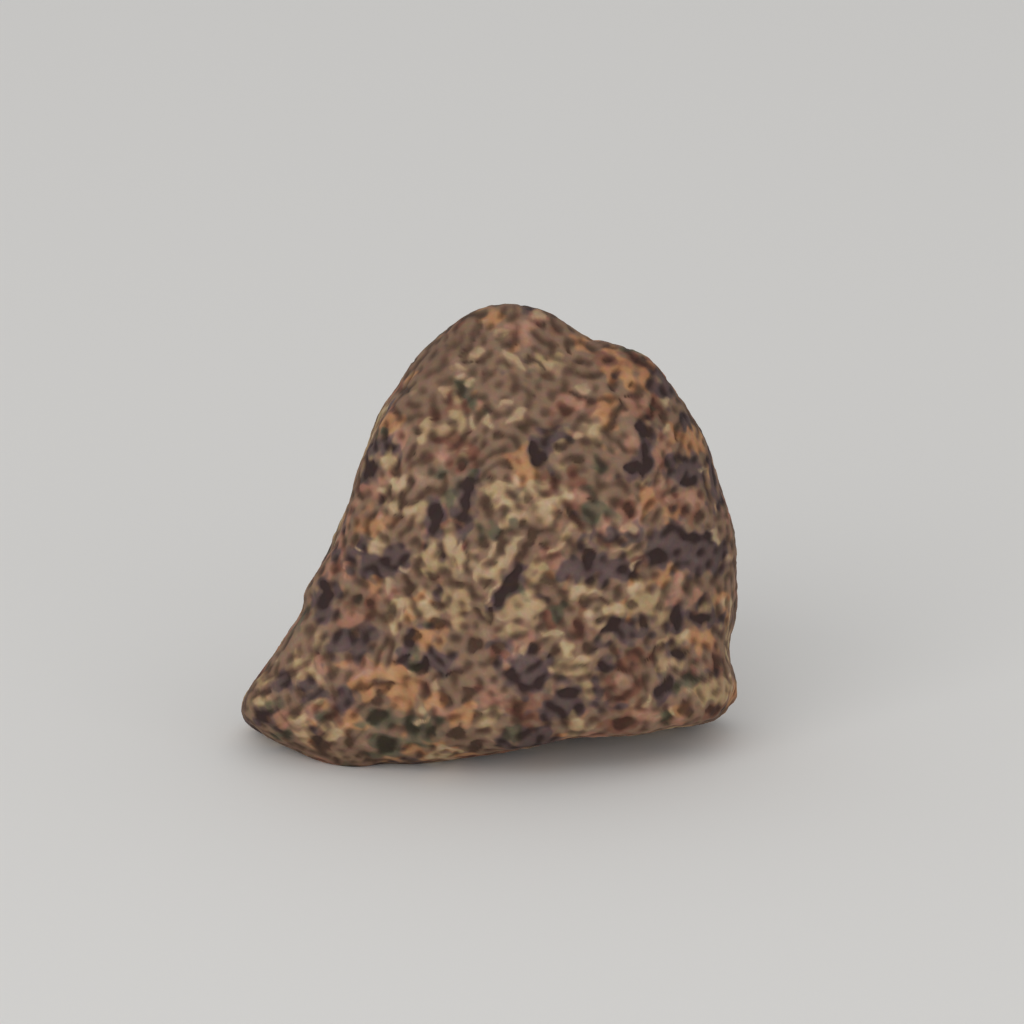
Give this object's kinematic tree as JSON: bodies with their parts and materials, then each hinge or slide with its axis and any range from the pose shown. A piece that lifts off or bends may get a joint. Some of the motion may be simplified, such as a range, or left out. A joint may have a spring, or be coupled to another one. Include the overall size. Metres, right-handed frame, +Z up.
{
  "type": "achondrite meteorite",
  "caption": "Bell-shaped weathered stone with a drawn-out toe, mottled tan and dark brown, that rests on a flat spot underneath.",
  "frame": {"origin": "middle of the stone's footprint box, on the surface it rests on", "axes": "+Z up, +X along the longest side, towards the blunt foot and away from the drawn-out toe, -Y towards the front that the picture shows"},
  "size_m": [0.0602, 0.0396, 0.0549],
  "materials": {
    "weathered_stone": "matt mottled stone: dark brown round grains and pits in a tan, orange, cream and purple-brown groundmass"
  },
  "bodies": {
    "root": {"stone": "weathered_stone"}
  },
  "joints": []
}
